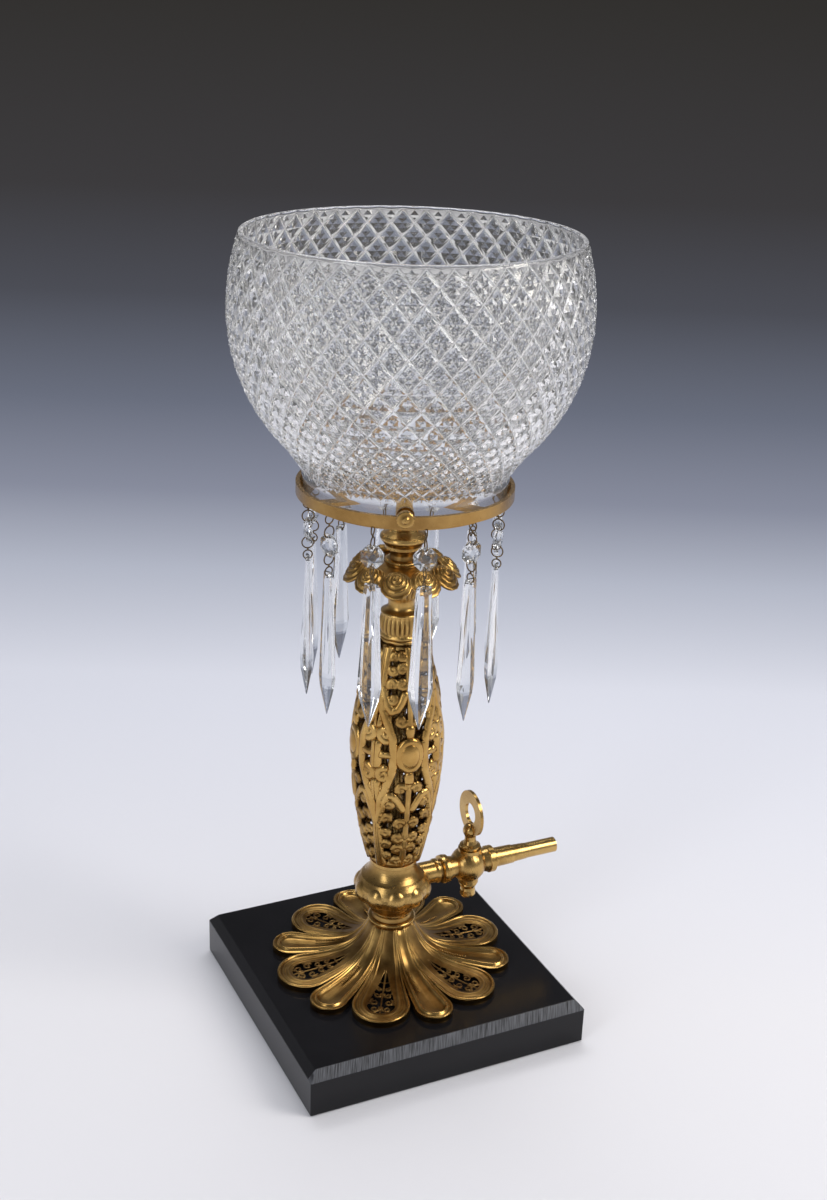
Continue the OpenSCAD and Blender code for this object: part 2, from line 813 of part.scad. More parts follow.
// A spear of glass: an eight-sided section with a ridge on each face, widest near its lower end
module prism(k) {
    top = prism_z + 2.3;
    half = prism_w / 2;
    // each ring is [distance below the top, half width, half thickness]
    rings = [[0, 4, 1.15], [1.2, 4.6, 1.3], [4.5, 4.9, 1.45], [prism_l * 0.72, half, 4.3], [prism_l * 0.8, half * 0.82, 3.9],
             [prism_l, 0.35, 0.35]];
    side = [[1, 0], [0.55, 0.72], [0, 1], [-0.55, 0.72], [-1, 0], [-0.55, -0.72], [0, -1], [0.55, -0.72]];
    points = [for (g = rings) for (p = side) [p[1] * g[2], p[0] * g[1], top - g[0]]];
    m = len(rings);
    sides = [for (j = [0:m - 2]) for (i = [0:7]) let (a = 8 * j + i, b = 8 * j + (i + 1) % 8)
        each [[a, b, a + 8], [b, b + 8, a + 8]]];
    color(glass)
        chain_at(k)
            difference() {
                polyhedron(points, concat([[for (i = [7:-1:0]) i]], sides, [[for (i = [0:7]) 8 * (m - 1) + i]]));
                translate([0, 0, prism_z])
                    rotate([0, 90, 0]) cylinder(h = 10, r = prism_hole, center = true);
            }
}

base_slab();
base_washer();
base_nut();
tie_rod();
foot();
neck_collar();
knop();
column();
gas_pipe();
capital();
turned_cap();
branch_nipple();
cock_body();
cock_plug();
thumb_ring();
plug_nut();
nozzle();
shade_holder();
bowl();
burner_pillar();
burner_tip();
for (k = [1:3])
    shade_screw(k);
for (k = [1:chains]) {
    bead(k);
    wires(k);
    prism(k);
}
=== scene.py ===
# Gas table lamp: slate base, cast brass stem with a side cock, cut-glass bowl and twelve hanging prisms.
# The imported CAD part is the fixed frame. Each section below makes or finishes one piece of the lamp,
# from the table up. Sizes are in millimetres until a mesh is made.
from math import cos, exp, pi, radians, sin, sqrt

import bpy
import numpy as np
from mathutils import Matrix, Vector


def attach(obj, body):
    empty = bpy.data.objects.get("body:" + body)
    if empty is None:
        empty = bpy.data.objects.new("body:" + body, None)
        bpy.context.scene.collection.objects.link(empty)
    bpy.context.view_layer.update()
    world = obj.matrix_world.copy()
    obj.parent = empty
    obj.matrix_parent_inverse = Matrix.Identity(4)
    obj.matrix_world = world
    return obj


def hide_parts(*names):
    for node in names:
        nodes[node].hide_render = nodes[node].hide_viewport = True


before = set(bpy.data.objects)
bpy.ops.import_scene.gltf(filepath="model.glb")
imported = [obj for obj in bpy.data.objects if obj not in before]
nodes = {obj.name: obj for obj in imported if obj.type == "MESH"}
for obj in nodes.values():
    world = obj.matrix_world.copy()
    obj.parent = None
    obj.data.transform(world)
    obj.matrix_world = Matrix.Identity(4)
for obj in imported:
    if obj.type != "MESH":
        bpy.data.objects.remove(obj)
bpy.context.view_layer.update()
scene = bpy.context.scene
scene.view_settings.view_transform = "Standard"

# Camera -------------------------------------------------------------------------------------------
# It stands where the photograph was taken from: above the bowl's rim, a little to the left of the
# slab's front edge, and tipped by two degrees.
azimuth, elevation, roll = radians(-25.991), radians(22.181), radians(2.031)
back = Vector((sin(azimuth) * cos(elevation), -cos(azimuth) * cos(elevation), sin(elevation)))
level = Vector((cos(azimuth), sin(azimuth), 0))
upright = back.cross(level)
right = cos(roll) * level + sin(roll) * upright
up = cos(roll) * upright - sin(roll) * level
lens = bpy.data.cameras.new("camera")
lens.sensor_width = 36
lens.lens = 48.80
lens.clip_end = 200
camera = bpy.data.objects.new("camera", lens)
camera.matrix_world = Matrix((
    (right.x, up.x, back.x, -0.408165),
    (right.y, up.y, back.y, -0.854214),
    (right.z, up.z, back.z, 0.682764),
    (0, 0, 0, 1)))
scene.collection.objects.link(camera)
scene.camera = camera


# Floor and light ----------------------------------------------------------------------------------
# A pale paper sweep under two large soft lamps and an even room light. Its colour is painted light that
# falls off from pale near the lamp to dark grey behind it, and far off the paper glows with that painted
# colour to the rays that are seen. Paper and room show in the metal and the glass as the camera sees them.

class Socket:
    """An output of a shader node. Sums, products and the like of it add Math nodes."""

    def __init__(self, finish, out):
        self.finish = finish
        self.out = out

    def math(self, kind, *values, clamp=False):
        return self.finish.node("Math", {"operation": kind, "use_clamp": clamp}, *values)

    def __add__(self, other):
        return self.math("ADD", self, other)

    def __sub__(self, other):
        return self.math("SUBTRACT", self, other)

    def __rsub__(self, other):
        return self.math("SUBTRACT", other, self)

    def __mul__(self, other):
        return self.math("MULTIPLY", self, other)

    def __truediv__(self, other):
        return self.math("DIVIDE", self, other)

    def __pow__(self, other):
        return self.math("POWER", self, other)

    def between(self, low, high):
        """0 below low, 1 above high, and straight between them"""
        return self.math("DIVIDE", self - low, high - low, clamp=True)

    __radd__ = __add__
    __rmul__ = __mul__


class Finish:
    """The nodes of one material, or of the world"""

    def __init__(self, block):
        block.use_nodes = True
        self.block = block
        self.tree = block.node_tree

    def feed(self, socket, value):
        if isinstance(value, Socket):
            self.tree.links.new(value.out, socket)
        elif socket.type == "RGBA" and len(value) == 3:
            socket.default_value = (*value, 1)
        else:
            socket.default_value = value

    def node(self, kind, settings=None, *values, out=0, **named):
        made = self.tree.nodes.new("ShaderNode" + kind)
        for key, value in (settings or {}).items():
            if key == "stops":
                for i, (place, color) in enumerate(value):
                    stops = made.color_ramp.elements
                    stop = stops[i] if i < 2 else stops.new(place)
                    stop.position = place
                    stop.color = (*color, 1)
            else:
                setattr(made, key, value)
        for i, value in enumerate(values):
            self.feed(made.inputs[i], value)
        for name, value in named.items():
            self.feed(made.inputs[name.replace("_", " ")], value)
        return Socket(self, made.outputs[out])

    def mix(self, factor, a, b):
        """Colour a where the factor is 0, and b where it is 1"""
        made = self.tree.nodes.new("ShaderNodeMix")
        made.data_type = "RGBA"
        for i, value in ((0, factor), (6, a), (7, b)):
            self.feed(made.inputs[i], value)
        return Socket(self, made.outputs[2])

    def surface(self, **named):
        """Sets the main shader's own sockets"""
        shader = self.tree.nodes["Principled BSDF"]
        for name, value in named.items():
            self.feed(shader.inputs[name.replace("_", " ")], value)
        return Socket(self, shader.outputs[0])

    def show(self, shader, end="Material Output"):
        self.tree.links.new(shader.out, self.tree.nodes[end].inputs["Surface"])


def new_finish(name):
    return Finish(bpy.data.materials.new(name))


def make_mesh(name, points, faces, finish, smooth=True, relief=None):
    """A mesh from points in millimetres. relief is a value at each point, which the finish reads: on brass it
    runs from 0 in a hollow to 1 on a high place, and on the bowl it is 1 along the ground cuts."""
    # the cast brass finish paints shade from relief: low relief is painted dark, high relief gold
    mesh = bpy.data.meshes.new(name)
    mesh.from_pydata((np.asarray(points, float) / 1000).tolist(), [], [list(f) for f in faces])
    mesh.polygons.foreach_set("use_smooth", np.broadcast_to(smooth, len(faces)).astype(bool))
    if relief is not None:
        layer = mesh.attributes.new("relief", "FLOAT", "POINT")
        layer.data.foreach_set("value", np.asarray(relief, np.float32))
    mesh.materials.append(finish.block)
    mesh.validate()
    mesh.update()
    made = bpy.data.objects.new(name, mesh)
    scene.collection.objects.link(made)
    return made


def seen_rays(finish):
    """1 on the rays that are seen straight, mirrored or through glass, and 0 on the rays that light things"""
    straight, mirrored, refracted = (finish.node("LightPath", out=kind) for kind in (
        "Is Camera Ray", "Is Glossy Ray", "Is Transmission Ray"))
    return (straight + mirrored + refracted).between(0, 1)


paper = new_finish("paper")
place = paper.node("NewGeometry", out="Position")
backwards = (0.438, 0.899, 0.0)
away = paper.node("VectorMath", {"operation": "DOT_PRODUCT"}, place, backwards, out="Value")
far = away.math("MAXIMUM", away, 0.0)
# painted light: the paper's colour darkens with distance behind the lamp, as light falling off would
painted_light_falloff = paper.node("ValToRGB", {"stops": [
    (0.0, (0.74, 0.73, 0.76)), (0.30, (0.66, 0.67, 0.74)), (0.40, (0.45, 0.475, 0.56)),
    (0.475, (0.245, 0.262, 0.335)), (0.56, (0.141, 0.156, 0.205)), (0.66, (0.072, 0.075, 0.092)),
    (0.76, (0.046, 0.044, 0.047)), (0.95, (0.032, 0.030, 0.028))]}, far / (far + 1.2))
# painted glow: from 0.45 m behind the lamp on, the seen rays take this painted colour as emission rather than
# lit paper
painted_falloff_glow = paper.node("Emission", None, painted_light_falloff, 1.0)
lit = paper.surface(Base_Color=painted_light_falloff, Roughness=0.9)
paper.show(paper.node("MixShader", None, away.between(0.45, 0.95) * seen_rays(paper), lit, painted_falloff_glow))
reach, floor_z = 40000, -0.3
corners = [(-reach, -reach), (reach, -reach), (reach, reach), (-reach, reach)]
sweep = make_mesh("floor", [(x, y, floor_z) for x, y in corners], [(0, 1, 2, 3)], paper, False)

scene.world = bpy.data.worlds.new("room")
room = Finish(scene.world)
steepness = room.node("SeparateXYZ", None, room.node("TexCoord", out="Generated"), out="Z")
walls = room.node("ValToRGB", {"stops": [
    (0.0, (0.60, 0.60, 0.62)), (0.12, (0.34, 0.34, 0.36)),
    (0.45, (0.13, 0.13, 0.14)), (1.0, (0.06, 0.06, 0.065))]}, steepness.math("ABSOLUTE", steepness))
even = room.node("Background", None, (0.93, 0.95, 1.0), 0.62)
reflected = room.node("Background", None, walls, 1.0)
room.show(room.node("MixShader", None, seen_rays(room), even, reflected), "World Output")

middle = Vector((0, 0, 0.28))
for name, where, size, power, tint in (
        ("key_lamp", (1.15, -1.05, 1.35), (0.8, 1.0), 19, (1.0, 0.965, 0.91)),
        ("fill_lamp", (-1.55, -0.75, 0.95), (0.5, 1.3), 7, (0.93, 0.96, 1.0)),
        ("top_lamp", (0.25, 0.75, 1.75), (1.1, 0.5), 9, (1.0, 1.0, 1.0))):  # place and size in metres, watts
    lamp = bpy.data.lights.new(name, "AREA")
    lamp.shape = "RECTANGLE"
    lamp.size, lamp.size_y = size
    lamp.energy = power
    lamp.color = tint
    held = bpy.data.objects.new(name, lamp)
    held.location = where
    held.rotation_euler = (middle - Vector(where)).to_track_quat("-Z", "Y").to_euler()
    scene.collection.objects.link(held)


# Slate base ---------------------------------------------------------------------------------------
# A square block of black slate, 196 mm a side, sawn, chamfered round the top and polished. The front
# chamfer has lost its polish and shows slanting grey scratches.
slab_w, slab_t = 196, 31.5
chamfer_w, chamfer_h = 5.2, 6.4

slate = new_finish("polished_slate")
spot = slate.node("TexCoord", out="Object")
cloud = slate.node("TexNoise", None, spot, Scale=22.0, Detail=6.0, Roughness=0.6)
slanted = slate.node("Mapping", {"vector_type": "TEXTURE"}, spot,
                     Rotation=(0.0, 0.42, 0.0), Scale=(0.0006, 0.014, 0.014))
scratch = slate.node("TexNoise", None, slanted, Scale=1.0, Detail=3.0)
grain = slate.node("TexNoise", None, spot, Scale=900.0, Detail=2.0)
y, z = (slate.node("SeparateXYZ", None, spot, out=axis) for axis in "YZ")
front = (0.0 - y).between(0.0926, 0.0930) * z.between(0.0248, 0.0252)  # 1 on the front chamfer
dusty = front * scratch.between(0.30, 0.62)
black = slate.mix(cloud, (0.004, 0.004, 0.005), (0.011, 0.0105, 0.012))
slate.surface(
    Base_Color=slate.mix(dusty, black, (0.11, 0.113, 0.125)),
    Roughness=(cloud * 0.08 + 0.13) + front * 0.34,
    IOR=1.5,
    Specular_IOR_Level=0.26,
    Normal=slate.node("Bump", None, 0.12, 0.0004, Height=grain + scratch * front * 3.0))


def block(half, edge, low, high, inset, drop, steps=3):
    """Rings of a square block with rounded corners, from its underside to its chamfered top"""
    rings = []
    for z, shrink in ((low, 0.8), (low + 0.8, 0), (high - drop, 0), (high - drop + 0.5, 0.25),
                      (high - 0.5, inset - 0.35), (high, inset + 0.25)):
        ring = []
        for corner in range(4):
            for i in range(steps + 1):
                a = pi / 2 * (corner + i / steps)
                side = half - shrink - edge
                cx, cy = ((1, 1), (-1, 1), (-1, -1), (1, -1))[corner]
                ring.append((cx * side + edge * cos(a), cy * side + edge * sin(a), z))
        rings.append(ring)
    return rings


def ring_faces(rings, sides):
    """Faces between rings of points that are numbered one ring after another"""
    faces = []
    for i in range(rings - 1):
        for j in range(sides):
            low, high, beside = i * sides, (i + 1) * sides, (j + 1) % sides
            faces.append((low + j, low + beside, high + beside, high + j))
    return faces


rings = block(slab_w / 2, 0.8, 0, slab_t, chamfer_w, chamfer_h)
count = len(rings[0])
points = [p for ring in rings for p in ring]
faces = ring_faces(len(rings), count)
faces.append(tuple(range(count))[::-1])
faces.append(tuple(range((len(rings) - 1) * count, len(rings) * count)))
slab = make_mesh("slate_slab", points, faces, slate, False)
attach(slab, "stand")
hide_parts("base_slab")


# Cast foot ----------------------------------------------------------------------------------------
# One brass casting, chased and gilt: a trumpet that spreads into six wide petals, pierced with
# scrollwork, and six narrow spoon-shaped ones between them, each with a rolled edge.
foot_r, petal_lift, foot_top = 81.5, 4.2, 62
wide_end, narrow_end = 19, 12.5

cast = new_finish("cast_brass")
spot = cast.node("TexCoord", out="Object")
height = cast.node("Attribute", {"attribute_name": "relief"}, out="Fac")
cloud = cast.node("TexNoise", None, spot, Scale=55.0, Detail=5.0, Roughness=0.62)
grain = cast.node("TexNoise", None, spot, Scale=1400.0, Detail=2.0)
# painted shade: relief darkens the hollows towards near-black brown and leaves the high places gold; the cloud
# adds real uneven tone and wear
painted_shade_and_wear = (height + cloud * 0.9 - 0.45).between(0.02, 0.90)
gold = cast.mix(cloud.between(0.35, 0.65), (0.45, 0.255, 0.070), (0.64, 0.405, 0.135))
cast.surface(
    # (0.075, 0.036, 0.012) is the painted shade colour of the hollows
    Base_Color=cast.mix(painted_shade_and_wear, (0.075, 0.036, 0.012), gold),
    Metallic=1.0,
    Roughness=0.37 - painted_shade_and_wear * 0.15 + cloud * 0.08,
    Normal=cast.node("Bump", None, 0.10, 0.0003, Height=grain))


def trumpet_z(r):
    return slab_t + petal_lift + (foot_top - slab_t - petal_lift) * np.exp(-(np.maximum(r, 15) - 15) / 11)


def stroke(x, y, line, start, end):
    """How far points lie inside a round-sided stroke along a line, and the height of its rounded top"""
    cover = np.full(x.shape, -99.0)
    rise = np.zeros(x.shape)
    n = len(line) - 1
    for i in range(n):
        (ax, ay), (bx, by) = line[i], line[i + 1]
        dx, dy = bx - ax, by - ay
        t = np.clip(((x - ax) * dx + (y - ay) * dy) / (dx * dx + dy * dy + 1e-9), 0, 1)
        d = np.hypot(x - ax - t * dx, y - ay - t * dy)
        w = start + (end - start) * (i + t) / n
        cover = np.maximum(cover, w - d)
        rise = np.maximum(rise, np.sqrt(np.maximum(w * w - d * d, 0)))
    return cover, rise


def curl(x, y, size, start, sweep, tight=0.3, steps=11):
    """Points of a scroll that winds in towards its middle, with angles in degrees"""
    line = []
    for i in range(steps + 1):
        a = radians(start + sweep * i / steps)
        r = size * (1 - (1 - tight) * (i / steps) ** 0.8)
        line.append((x + r * cos(a), y + r * sin(a)))
    return line


def grid_quads(m, n):
    """Faces of a grid with m rows of n points"""
    return np.array([(i * n + j, i * n + j + 1, (i + 1) * n + j + 1, (i + 1) * n + j)
                     for i in range(m - 1) for j in range(n - 1)])


def pierced(x, y, cover_of, cell):
    """Moves a grid's points near an opening's edge onto it. Gives the points and the quads that stay."""
    step, share = 0.02, 0.62
    cover, _ = cover_of(x, y)
    gx = (cover_of(x + step, y)[0] - cover) / step
    gy = (cover_of(x, y + step)[0] - cover) / step
    slope = np.maximum(gx * gx + gy * gy, 0.2)
    near = np.abs(cover) < share * cell
    x = np.where(near, x - cover * gx / slope, x)
    y = np.where(near, y - cover * gy / slope, y)
    kept = (cover > -share * cell).ravel()
    quads = grid_quads(*x.shape)
    return x, y, quads[kept[quads].all(axis=1)]


def turned_copies(points, faces, relief, angles):
    """Copies of a mesh at several angles round the stem, as one"""
    used = np.unique(faces)
    number = np.zeros(len(points), int)
    number[used] = np.arange(len(used))
    points, faces, relief = points[used], number[faces], relief[used]
    every, faces_of = [], []
    for k, angle in enumerate(angles):
        c, s = cos(radians(angle)), sin(radians(angle))
        every.append(points @ np.array([[c, s, 0], [-s, c, 0], [0, 0, 1]]))
        faces_of.append(faces + k * len(points))
    return np.vstack(every), np.vstack(faces_of), np.tile(relief, len(angles))


def rim_profile(q, spoon):
    """Height over the trumpet at a share q of the way in from a petal's edge"""
    def bump(middle, width, high):
        return high * np.exp(-((q - middle) / width) ** 2)
    lip = 0.9 * np.sqrt(np.clip(1 - ((q - 0.055) / 0.055) ** 2, 0, 1)) * (q < 0.11)
    if spoon:
        return lip + bump(0.33, 0.10, 1.9) - 1.1 * np.clip((q - 0.42) / 0.5, 0, 1) ** 0.7 - 0.35 * (q > 0.1)
    beads = bump(0.185, 0.035, 0.55) + bump(0.27, 0.035, 0.40) + bump(0.375, 0.05, 0.75)
    return lip + beads - 0.35 * (q > 0.1)


def half_width(u, end):
    """Half the width of a petal at u along it: a wedge from its root, and then its round end"""
    root_x, root_w, centre = 10, 3.6, foot_r - end
    lean = np.arcsin((end - root_w) / (centre - root_x - 2))
    touch = centre - end * np.sin(lean)
    wedge = root_w + (end * np.cos(lean) - root_w) * (u - root_x) / (touch - root_x)
    return np.where(u < touch, wedge, np.sqrt(np.maximum(end * end - (u - centre) ** 2, 0)))


def teardrop(x, y):
    """How far a point lies outside the pierced panel of a wide petal"""
    start, length = 31, 31
    along = np.clip((x - start) / length, 0, 1)
    return np.hypot(x - start - length * along, y) - (0.4 + 8.9 * along)


tracery = [([(30, 0), (73, 0)], 0.75, 0.6)]
for side in (1, -1):
    tracery += [
        (curl(66.3, 3.9 * side, 3.3, -120 * side, 400 * side), 0.85, 0.6),
        (curl(59.4, 4.7 * side, 3.2, 150 * side, -390 * side), 0.85, 0.6),
        (curl(52.3, 3.6 * side, 2.7, -120 * side, 380 * side), 0.8, 0.6),
        (curl(46.2, 2.7 * side, 2.1, 150 * side, -380 * side), 0.75, 0.6),
        ([(69, 3 * side), (71.5, 6 * side)], 0.7, 0.5),
        ([(60, 7 * side), (62, 9.5 * side)], 0.7, 0.5),
        ([(50.5, 5.5 * side), (50, 8 * side)], 0.7, 0.5),
        ([(41, 0), (40, 4 * side)], 0.6, 0.5)]


def wide_cover(x, y):
    cover = teardrop(x, y)
    rise = np.zeros(x.shape)
    for line, start, end in tracery:
        c, h = stroke(x, y, line, start, end)
        cover = np.maximum(cover, c)
        rise = np.maximum(rise, h)
    return cover, rise


def petal_mesh(end, spoon, along, across, angles):
    """Top of one kind of petal, copied round the stem, with a skirt that stands on the slate"""
    start, centre = 11, foot_r - end
    u = start + (foot_r - start - 0.02) * np.sin(np.linspace(0.0, 1.0, along) * pi / 2) ** 0.85
    x, t = np.meshgrid(u, np.linspace(-1, 1, across), indexing="ij")
    y = half_width(x, end) * t
    if spoon:
        faces, strands = grid_quads(along, across), 0
    else:
        x, y, faces = pierced(x, y, wide_cover, 0.42)
        strands = np.where(teardrop(x, y) < 0, wide_cover(x, y)[1] * 0.9 - 0.5, 0)
    wide = np.maximum(half_width(x, end), 1e-3)
    reach = np.where(x > centre, end - np.hypot(x - centre, y), wide - np.abs(y))
    q = np.clip(reach / np.where(x > centre, end, wide), 0, 1)
    lift = rim_profile(q, spoon) * np.clip(wide / end * 1.6, 0.35, 1) + strands
    z = trumpet_z(np.hypot(x, y)) + lift
    # painted shade: low parts of the petal get low relief and are painted darker, rims and beads lighter
    relief = np.clip(0.45 + lift * 0.55, 0.52 if spoon else 0, 1)
    edge = [i * across for i in range(along)] + [(along - 1) * across + j for j in range(1, across)]
    edge += [i * across + across - 1 for i in range(along - 2, -1, -1)]
    points = np.stack([x.ravel(), y.ravel(), z.ravel()], axis=1)
    skirt = points[edge].copy()
    skirt[:, 2] = slab_t + 0.05
    base = len(points)
    free_r = 50  # nearer the stem than this the petals run into each other
    walls = [(edge[i], base + i, base + i + 1, edge[i + 1]) for i in range(len(edge) - 1)
             if np.hypot(*points[edge[i]][:2]) > free_r]
    points = np.vstack([points, skirt])
    # painted shade: the skirt walls get low relief, so their sides by the slate are painted dark
    relief = np.concatenate([relief.ravel(), np.full(len(skirt), 0.15)])
    faces = np.vstack([faces, np.array(walls)])
    return turned_copies(points, faces, relief, angles)


def join_meshes(parts):
    """Several (points, faces, relief) as one"""
    points, faces, relief, base = [], [], [], 0
    for p, f, r in parts:
        points.append(p)
        faces.append(np.asarray(f) + base)
        relief.append(r)
        base += len(p)
    return np.vstack(points), np.vstack(faces), np.concatenate(relief)


def ball(x, y, z, r, rings=6, sides=10, squash=1.0):
    """A small cast bead as (points, faces, relief)"""
    points, relief = [], []
    for i in range(rings + 1):
        a = pi * i / rings
        for j in range(sides):
            b = 2 * pi * j / sides
            points.append((x + r * sin(a) * cos(b), y + r * sin(a) * sin(b), z + r * squash * cos(a)))
            # painted light: the bead's relief is high on top and low underneath, so the brass finish paints
            # its top lit and its underside shaded
            relief.append(0.5 + 0.5 * cos(a))
    faces = [(a, d, c, b) for a, b, c, d in ring_faces(rings + 1, sides)]
    return np.array(points), np.array(faces), np.array(relief)


# the web between the petals, lower than they are; beyond its inner rings it leaves the wide petals open
web_rings, web_sides, inner_rings = 30, 144, 12
web_r = np.linspace(9.5, 57, web_rings)
web_a = np.linspace(0, 2 * pi, web_sides + 1)[:-1]
points = np.array([(r * cos(a), r * sin(a), float(trumpet_z(r)) - 1.6) for r in web_r for a in web_a])
faces = []
for i in range(web_rings - 1):
    for j in range(web_sides):
        turn = j * 360 / web_sides % 60
        if min(turn, 60 - turn) > 9 or i < inner_rings:
            low, high, beside = i * web_sides, (i + 1) * web_sides, (j + 1) % web_sides
            faces.append((low + j, high + j, high + beside, low + beside))
# painted shade: the web between the petals gets almost no relief and is painted near black
web = (points, np.array(faces), np.full(len(points), 0.05))

# a row of chased beads along one side of each narrow petal
beads = []
for k in range(6):
    for i in range(11):
        a = radians(60 * k + 30)
        r, side = 34 + 1.75 * i, -2.3 - 0.05 * i
        x, y = r * cos(a) - side * sin(a), r * sin(a) + side * cos(a)
        beads.append(ball(x, y, float(trumpet_z(r)) + 0.55, 0.82, 5, 8))
top = join_meshes([
    petal_mesh(wide_end, False, 170, 103, [60 * k for k in range(6)]),
    petal_mesh(narrow_end, True, 90, 45, [60 * k + 30 for k in range(6)]), web] + beads)
foot = make_mesh("petal_foot", *top[:2], cast, True, top[2])
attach(foot, "stand")
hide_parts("foot")


# Pierced column -----------------------------------------------------------------------------------
# A cast brass baluster round the gas pipe. Four panels of scrollwork, each round an oval boss, leave
# small openings, through which the dark inside shows.
column_z, column_top, column_r, belly_c = 111, 273, 28.7, 193
panels, panel_phase = 4, -98


def baluster_r(z):
    z = np.asarray(z, float)
    low = np.sin(np.clip((z - column_z) / (belly_c - column_z), 0, 1) * pi / 2) ** 0.8
    high = np.cos(np.clip((z - belly_c) / (column_top - belly_c), 0, 1) * pi / 2) ** 0.72
    return np.where(z < belly_c, 15 + (column_r - 16) * low, 13 + (column_r - 14) * high)


def edge_x(z):
    """Distance along the skin from a panel's middle to its edge"""
    return float(baluster_r(z)) * pi / 4


def scroll_lines():
    """Half of one panel as (line, half width at its start, at its end): the straps first, then the curls"""
    e = edge_x
    lines = [
        ([(0, 113), (0, 181)], 0.9, 0.9), ([(0, 221), (0, 272)], 0.9, 0.9),
        ([(e(z), z) for z in (113, 122, 131, 140, 149)], 1.9, 1.6),
        ([(e(149), 149), (e(157) - 2, 157), (e(165) - 5, 165.5), (13.5, 171.5), (9.6, 171), (6.4, 166.5),
          (3.2, 161)], 1.5, 1.2),
        ([(e(156) - 2, 156), (18, 168), (14, 180), (11, 190), (10, 201), (11, 212), (14, 222), (17.2, 231),
          (e(240) - 1.5, 240)], 1.5, 1.5),
        ([(e(247), 247), (e(241) - 2, 241), (e(234) - 5, 234), (11.5, 230.5), (8, 232), (5.4, 236),
          (3, 241.5)], 1.5, 1.2),
        ([(e(z), z) for z in (247, 254, 261, 268, 272)], 1.6, 1.8),
        ([(e(172), 168), (e(178), 180)], 1.2, 2.0), ([(e(222), 234), (e(218), 222)], 1.2, 2.0),
        ([(e(201) - 1, 201), (12, 201)], 1.6, 1.0), ([(e(201), 194), (e(201), 208)], 2.4, 2.4),
        ([(0, 183), (0, 187)], 1.9, 1.4), ([(0, 215), (0, 219)], 1.4, 1.9)]
    for x, z, size, start, sweep in (
            (3.9, 119.5, 3.0, 200, 400), (4.3, 128.6, 3.3, 160, -400), (4.7, 138.6, 3.6, 200, 400),
            (4.6, 149.3, 3.6, 160, -400), (10.4, 123.5, 2.6, 20, -390), (11.4, 132.4, 3.2, -30, 390),
            (12.3, 142.8, 3.4, 20, -390), (12.2, 154, 3.4, -30, 390), (5.2, 176.4, 3.5, 160, -400),
            (11.6, 164, 2.8, 20, 380), (5.6, 224.6, 3.4, 200, 400), (10.4, 238.6, 2.8, -20, -380),
            (4.3, 248.6, 3.2, 200, 400), (4.0, 257.4, 2.9, 160, -400), (3.6, 265.6, 2.4, 200, 400),
            (10.4, 247.6, 3.0, -20, 390), (9.4, 256.4, 2.6, 20, -390), (8.0, 264.6, 2.2, -20, 390)):
        lines.append((curl(x, z, size, start, sweep, 0.22), 0.95, 0.6))
    for z, turn in ((186.5, 1), (215.5, -1)):
        lines.append((curl(e(z) - 5.6, z, 4.9, 90 * turn, -420 * turn), 1.5, 0.9))
        lines.append((curl(e(z) - 6.2, z - 10.5 * turn, 2.6, -90 * turn, 400 * turn), 1.0, 0.8))
    return lines


def oval_boss(x, z):
    """Cover and height of the oval boss and of the frame round it"""
    half_wide, half_high, boss_z = 7.9, 11.2, 201
    q = np.hypot(x / half_wide, (z - boss_z) / half_high)
    frame_rise = 1.9 * np.sqrt(np.clip(1 - ((q - 0.86) / 0.13) ** 2, 0, 1))
    dome = 2.6 * np.sqrt(np.clip(1 - (q / 0.70) ** 2, 0, 1)) + 0.3 * (q < 0.72)
    return (1 - q) * 8, np.maximum(frame_rise, dome)


scrolls = scroll_lines()


def column_cover(x, z):
    x = np.abs(x)
    cover, rise = oval_boss(x, z)
    for line, start, end in scrolls:
        c, h = stroke(x, z, line, start, end)
        cover = np.maximum(cover, c)
        rise = np.maximum(rise, h)
    margin = 0.16  # makes every strand this much wider on each side
    return cover + margin, rise


turn, z = np.meshgrid(np.linspace(-1, 1, 97), np.linspace(column_z + 3, column_top - 3, 330), indexing="ij")
x = turn * baluster_r(z) * pi / 4
x, z, faces = pierced(x, z, column_cover, 0.5)
rise = column_cover(x, z)[1]
r = baluster_r(z) - 0.7 + rise * 0.95
a = np.clip(x / baluster_r(z), -pi / 4, pi / 4)
points = np.stack([(r * np.cos(a)).ravel(), (r * np.sin(a)).ravel(), z.ravel()], axis=1)
# painted shade: where the strands are low, round the openings, the relief is low and the brass is painted dark
relief = np.clip(0.12 + rise.ravel() * 0.75, 0, 1)
angles = [panel_phase + 360 / panels * k for k in range(panels)]
points, faces, relief = turned_copies(points, faces[:, ::-1], relief, angles)
sleeve = make_mesh("scroll_column", points, faces, cast, True, relief)
wall = sleeve.modifiers.new("wall", "SOLIDIFY")
wall.thickness = 0.0021
wall.offset = 1
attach(sleeve, "stand")
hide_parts("column")


def turned(profile, sides=96, ripple=None):
    """Rings about the stem from (radius, height) pairs. ripple gives each ring's (number, depth) of flutes."""
    points, relief = [], []
    for i, (r, z) in enumerate(profile):
        count, depth = ripple[i] if ripple else (0, 0)
        for j in range(sides):
            b = 2 * pi * j / sides
            dip = depth * (1 - abs(cos(count * b / 2))) if depth else 0
            points.append(((r - dip) * cos(b), (r - dip) * sin(b), z))
            # painted shade: the bottoms of the flutes get lower relief and are painted darker
            relief.append(0.75 - dip * 0.55)
    return np.array(points), np.array(ring_faces(len(profile), sides)), np.array(relief)


